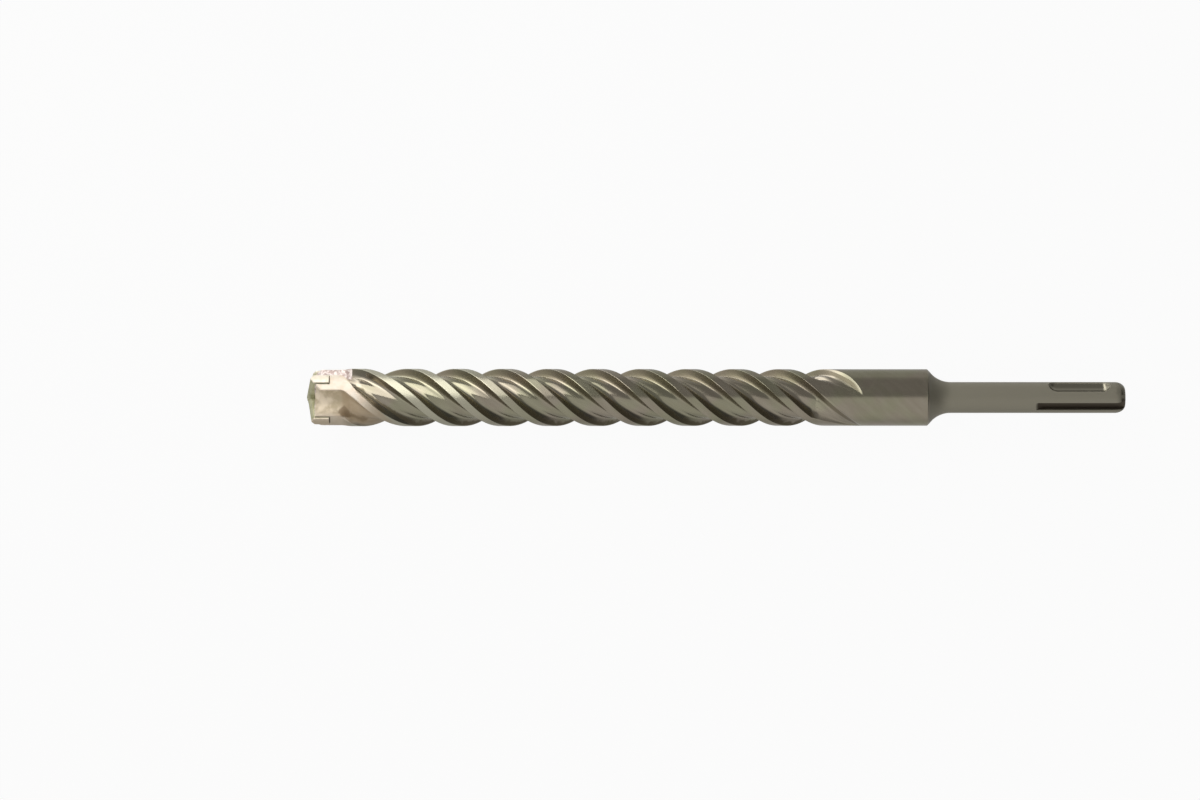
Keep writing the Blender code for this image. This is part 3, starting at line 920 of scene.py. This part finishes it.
def bar_zones(wiring, at):
    """Where the bar is scaled, tinted, blasted and so on, and where shade is painted, each as a share from
    0 to 1.
    """
    fluted = wiring.fall(at.station, RUNOUT_END - 3.8 * MM, RUNOUT_END + 2.2 * MM)
    grooved = wiring.times(
        wiring.ramp(at.station, 230 * MM, 236 * MM),
        wiring.fall(at.radius, 4.35 * MM, 4.75 * MM),
    )
    # 0 in the middle of a locking groove and 1 in the middle of a key groove.
    around_shank = wiring.math("ARCTAN2", *wiring.parts(at.place)[1:])
    from_locks = wiring.minus(around_shank, LOCK_GROOVE_ANGLE * DEG)
    keyed = wiring.math("ABSOLUTE", wiring.math("SINE", from_locks))
    # Near the head the lands are scuffed pale and matt.
    worn_lands = wiring.times(
        wiring.ramp(at.radius, 9.10 * MM, 9.24 * MM),
        wiring.fall(at.station, 38 * MM, 85 * MM),
    )
    return SimpleNamespace(
        scaled=heated(wiring, at, (11, 14), (16, 27)),
        tinted=heated(wiring, at, (12, 16), (22, 32)),
        fluted=fluted,
        # Painted shade in the flutes' corners; the same share also makes them matt and calms their bump.
        painted_corner_shade=painted_corner_shade_share(wiring, at, fluted),
        scuffed=wiring.times(worn_lands, wiring.ramp(at.fine, 0.25, 0.6, 0.55, 1.0)),
        blasted=wiring.ramp(at.station, BODY_END - 0.1 * MM, BODY_END + 0.7 * MM),
        # Painted shade darkens the floors of the key grooves.
        painted_groove_shade=wiring.times(grooved, wiring.ramp(keyed, 0.75, 0.9)),
        rubbed=wiring.times(grooved, wiring.fall(keyed, 0.60, 0.75)),
    )


def scale_colour(wiring, at):
    """Cream scale, deeper in the pockets and further back, browner low down as painted shade, and brown
    where a pocket ends.
    """
    sunken = wiring.fall(at.radius, 7.6 * MM, 9.1 * MM)
    on_lands = wiring.mix_colour(wiring.ramp(at.clouds, 0.3, 0.6), *LAND_SCALE)
    in_pockets = wiring.mix_colour(wiring.ramp(at.clouds, 0.35, 0.6), *POCKET_SCALE)
    colour = wiring.mix_colour(sunken, on_lands, in_pockets)
    # Painted shade: low down, towards -Y, the scale takes the far colour.
    low = wiring.fall(wiring.parts(at.place)[1], -7.5 * MM, -2.5 * MM)
    far_and_shaded_low = wiring.larger(low, wiring.ramp(at.reached, 14 * MM, 24 * MM))
    tail = wiring.times(sunken, wiring.ramp(at.reached, 10.2 * MM, 12.0 * MM))
    for share, pair in ((wiring.times(far_and_shaded_low, 0.8), FAR_AND_SHADED_SCALE), (wiring.times(tail, 0.85), TAIL_SCALE)):
        colour = wiring.mix_colour(share, colour, wiring.mix_colour(at.clouds, *pair))
    return colour


def bar_colour(wiring, at, zones):
    """Olive-grey steel, brown where it was hot, cream scale at the very head, and stains over all, with
    painted shade in the flutes' corners, in the key grooves and behind the top arm.
    """
    hue = wiring.ramp(wiring.noise(at.place, 110, 1.0, 0.4), 0.40, 0.62)
    deep, light = (wiring.mix_colour(hue, *pair) for pair in (DEEP_STEEL, LIGHT_STEEL))
    ragged_place = warped(wiring, at.place)
    patch = stain_and_shade_patch(wiring, ragged_place, BURNT_PATCH, 0.35 * MM)
    trail = stain_and_shade_patch(wiring, ragged_place, BURNT_TRAIL, 0.45 * MM)
    burnt = wiring.larger(patch, wiring.times(trail, 0.8))
    # Painted shade in the gap behind the top arm.
    arm_gap_shade = stain_and_shade_patch(wiring, at.place, PAINTED_SHADE_BEHIND_ARM, 0.2 * MM)
    colour = wiring.mix_colour(at.patches, deep, light)
    for share, over in (
        (zones.blasted, BLASTED_STEEL),
        (zones.painted_groove_shade, PAINTED_GROOVE_SHADE_COLOUR),
        (zones.painted_corner_shade, PAINTED_CORNER_SHADE_COLOUR),
        (zones.scuffed, SCUFFED_STEEL),
        (wiring.times(zones.tinted, 0.8), wiring.mix_colour(at.clouds, *HEAT_TINT)),
        (zones.scaled, scale_colour(wiring, at)),
        (wiring.times(burnt, 0.85), BURNT_FLUX),
        (wiring.times(arm_gap_shade, 0.85), PAINTED_ARM_GAP_SHADE_COLOUR),
    ):
        colour = wiring.mix_colour(share, colour, over)
    return colour


def make_bar_steel(grain_group):
    """Bright mill-cut flutes, a blasted shank with locking grooves rubbed bright, and a scaled head."""
    material, wiring, shader = new_material("heat_tinted_steel")
    at = bar_patterns(wiring, grain_group)
    zones = bar_zones(wiring, at)
    wiring.feed(shader.inputs["Base Color"], bar_colour(wiring, at, zones))
    metal = 1.0
    for share, over in ((zones.blasted, 0.6), (zones.rubbed, 1.0), (zones.scaled, 0.15)):
        metal = wiring.mix_value(share, metal, over)
    wiring.feed(shader.inputs["Metallic"], metal)
    rough = wiring.plus(0.11, wiring.times(at.marks, 0.15))
    for share, over in (
        (zones.blasted, wiring.plus(0.40, wiring.times(at.fine, 0.12))),
        (zones.rubbed, 0.18),
        (zones.scuffed, 0.40),
        (zones.painted_corner_shade, 0.6),
        (wiring.times(zones.tinted, 0.5), 0.5),
        (zones.scaled, 0.55),
    ):
        rough = wiring.mix_value(share, rough, over)
    wiring.feed(shader.inputs["Roughness"], rough)
    height = wiring.times(at.marks, 1.6, wiring.mix_value(zones.fluted, 0.1, 1.0))
    height = wiring.plus(height, wiring.times(at.patches, wiring.mix_value(zones.fluted, 0.3, 4.0)))
    height = wiring.times(height, wiring.mix_value(zones.painted_corner_shade, 1.0, 0.1))
    height = wiring.plus(height, wiring.times(at.fine, wiring.mix_value(zones.scaled, 0.5, 2.5)))
    wiring.feed(shader.inputs["Normal"], wiring.bump(height, 0.35, 0.012 * MM))
    return material


def make_carbide_material(grain_group):
    """Yellow-green sintered faces, with pale ground ends that carry painted shade low down."""
    material, wiring, shader = new_material("brazed_carbide")
    place = wiring.place()
    radius = axis_coordinates(wiring)[1]
    fine = grain(wiring, grain_group, 4200)
    cloudy = wiring.ramp(wiring.noise(place, 420, 3.0, 0.55), 0.35, 0.65)
    faces, ends = (wiring.mix_colour(cloudy, *pair) for pair in (CARBIDE_FACES, CARBIDE_ENDS))
    # Painted shade: the ends are darker low down, towards -Y.
    shaded_low_end = wiring.fall(wiring.parts(place)[1], -8 * MM, -5 * MM)
    ends = wiring.mix_colour(shaded_low_end, ends, SHADED_LOW_CARBIDE)
    colour = wiring.mix_colour(wiring.ramp(radius, 9.2 * MM, 9.7 * MM), faces, ends)
    wiring.feed(shader.inputs["Base Color"], colour)
    shader.inputs["Metallic"].default_value = 0.3
    wiring.feed(shader.inputs["Roughness"], wiring.plus(0.38, wiring.times(fine, 0.15)))
    wiring.feed(shader.inputs["Normal"], wiring.bump(fine, 0.3, 0.02 * MM))
    return material


def make_braze_material(grain_group):
    material, wiring, shader = new_material("set_braze")
    clouds = wiring.noise(wiring.place(), 900, 3.0, 0.6)
    fine = grain(wiring, grain_group, 3000)
    colour = wiring.mix_colour(wiring.ramp(clouds, 0.4, 0.6), *BRAZE_METAL)
    wiring.feed(shader.inputs["Base Color"], colour)
    shader.inputs["Metallic"].default_value = 0.25
    wiring.feed(shader.inputs["Roughness"], wiring.plus(0.32, wiring.times(clouds, 0.3)))
    wiring.feed(shader.inputs["Normal"], wiring.bump(fine, 0.5, 0.05 * MM))
    return material


# Floor, lights and camera

FLOOR_SIZE = 3.0
FLOOR_DROP = 0.2 * MM
FLOOR_GREY = 0.46
FLOOR_GLOW_TO_CAMERA = 0.95
FLOOR_GLOW_TO_MIRRORS = 0.12

WINDOW_WIDTH = 0.12
WINDOW_STRENGTH = 3.4
ROOM_COLOUR = (1.0, 0.985, 0.95, 1)

PHOTO_WIDTH = 1200
PHOTO_PIXELS_PER_MM = 3.087
CAMERA_OVER = (-0.17005, -0.00081)
CAMERA_LENS = 200
CAMERA_SENSOR = 36

# Where each panel starts and ends along X, how bright it is, and whether it lights matt surfaces.
HEAD_PANELS = (
    (-0.400, -0.290, 0.55, True),
    (-0.290, -0.215, 2.4, False),
    (-0.215, -0.185, 1.3, True),
)
HEAD_PANEL_WIDTH = 0.18
HEAD_PANEL_OVER = (0.082, 0.092)
HEAD_PANEL_COLOUR = (1.0, 0.985, 0.93)


def make_floor():
    """White to the camera, grey under the bit's shadow, and nearly clear to mirrored rays."""
    builder = bmesh.new()
    bmesh.ops.create_grid(builder, x_segments=1, y_segments=1, size=FLOOR_SIZE)
    material, wiring, shader = new_material("pale_floor")
    nodes = wiring.nodes
    shader.inputs["Base Color"].default_value = (FLOOR_GREY, FLOOR_GREY, FLOOR_GREY, 1)
    shader.inputs["Roughness"].default_value = 0.9
    shader.inputs["Specular IOR Level"].default_value = 0.0
    glow = nodes.new("ShaderNodeEmission")
    clear = nodes.new("ShaderNodeBsdfTransparent")
    path = nodes.new("ShaderNodeLightPath")
    mirrored = wiring.larger(path.outputs["Is Glossy Ray"], path.outputs["Is Transmission Ray"])
    seen = wiring.times(path.outputs["Is Camera Ray"], FLOOR_GLOW_TO_CAMERA)
    share = wiring.larger(seen, wiring.times(mirrored, FLOOR_GLOW_TO_MIRRORS))
    surface = shader.outputs[0]
    for factor, over in ((mirrored, clear), (share, glow)):
        blend = nodes.new("ShaderNodeMixShader")
        for socket, value in zip(blend.inputs, (factor, surface, over.outputs[0])):
            wiring.feed(socket, value)
        surface = blend.outputs[0]
    wiring.feed(nodes["Material Output"].inputs["Surface"], surface)
    floor = object_from(builder, "floor", material)
    floor.location = (-TOTAL_LENGTH / 2, 0, cad_box[0].z - FLOOR_DROP)


def make_world():
    """A room, grey below the picture and darker above it, with a tall bright window at the left."""
    world = bpy.data.worlds.new("studio")
    bpy.context.scene.world = world
    world.use_nodes = True
    wiring = Wiring(world.node_tree)
    x, y, z = wiring.parts(wiring.nodes.new("ShaderNodeTexCoord").outputs["Generated"])
    # The tilt is 0 straight up and positive towards the top of the picture.
    tilt = wiring.math("ARCTAN2", y, z)
    below = wiring.fall(wiring.minus(tilt, wiring.times(x, 0.5)), -6 * DEG, 6 * DEG)
    # Low down on both sides the room takes on the tones of the table.
    grey = wiring.times(
        wiring.ramp(x, 0.35, 0.80, 0.72, 0.08),
        wiring.ramp(x, -0.95, -0.60, 0.28, 1.0),
        wiring.ramp(x, -0.60, 0.0, 1.3, 1.0),
        wiring.ramp(tilt, -115 * DEG, -75 * DEG, 0.70, 1.0),
    )
    grey = wiring.larger(grey, wiring.ramp(tilt, -80 * DEG, -40 * DEG, 0.38, 0.10))
    left = wiring.times(wiring.ramp(x, -0.55, -0.30, 0.58, 0.0), wiring.ramp(x, -0.95, -0.60, 0.1, 1.0))
    dark = wiring.times(
        wiring.plus(wiring.ramp(x, 0.45, 0.80, 0.31, 0.12), left),
        wiring.ramp(tilt, 70 * DEG, 100 * DEG, 1.0, 1.4),
    )
    middle = wiring.ramp(tilt, 70 * DEG, 140 * DEG, -0.385, -0.22)
    off = wiring.math("DIVIDE", wiring.minus(x, middle), WINDOW_WIDTH)
    window = wiring.times(
        wiring.math("EXPONENT", wiring.times(off, off, -1.0)),
        wiring.ramp(tilt, -10 * DEG, 35 * DEG, 0.0, WINDOW_STRENGTH),
        wiring.ramp(tilt, 85 * DEG, 150 * DEG, 1.0, 0.6),
    )
    background = wiring.nodes["Background"]
    background.inputs["Color"].default_value = ROOM_COLOUR
    wiring.feed(background.inputs["Strength"], wiring.plus(wiring.mix_value(below, dark, grey), window))


def make_camera():
    """Straight above, as the photograph was taken, with a long lens."""
    data = bpy.data.cameras.new("overhead_camera")
    data.lens = CAMERA_LENS
    data.sensor_width = CAMERA_SENSOR
    frame_width = PHOTO_WIDTH / PHOTO_PIXELS_PER_MM * MM
    camera = bpy.data.objects.new("overhead_camera", data)
    camera.location = (*CAMERA_OVER, frame_width * CAMERA_LENS / CAMERA_SENSOR)
    bpy.context.scene.collection.objects.link(camera)
    bpy.context.scene.camera = camera


def make_head_softboxes():
    """A long soft light beside the head, in panels from the tip towards the shank."""
    for index, (start, end, level, lights_matt) in enumerate(HEAD_PANELS):
        data = bpy.data.lights.new(f"head_softbox_{index + 1}", "AREA")
        data.shape = "RECTANGLE"
        data.size, data.size_y = end - start, HEAD_PANEL_WIDTH
        data.energy = level * math.pi * data.size * data.size_y
        data.color = HEAD_PANEL_COLOUR
        lamp = bpy.data.objects.new(data.name, data)
        lamp.location = ((start + end) / 2, *HEAD_PANEL_OVER)
        lamp.rotation_euler = Vector((0, *HEAD_PANEL_OVER)).to_track_quat("Z", "Y").to_euler()
        lamp.visible_camera = False
        lamp.visible_diffuse = lights_matt
        bpy.context.scene.collection.objects.link(lamp)


make_camera()
make_world()
make_floor()
make_head_softboxes()
surface_grain = make_grain_group()
make_steel_bar(make_bar_steel(surface_grain))
make_carbide(make_carbide_material(surface_grain))
make_braze(make_braze_material(surface_grain))

bpy.context.scene.view_settings.view_transform = "Standard"
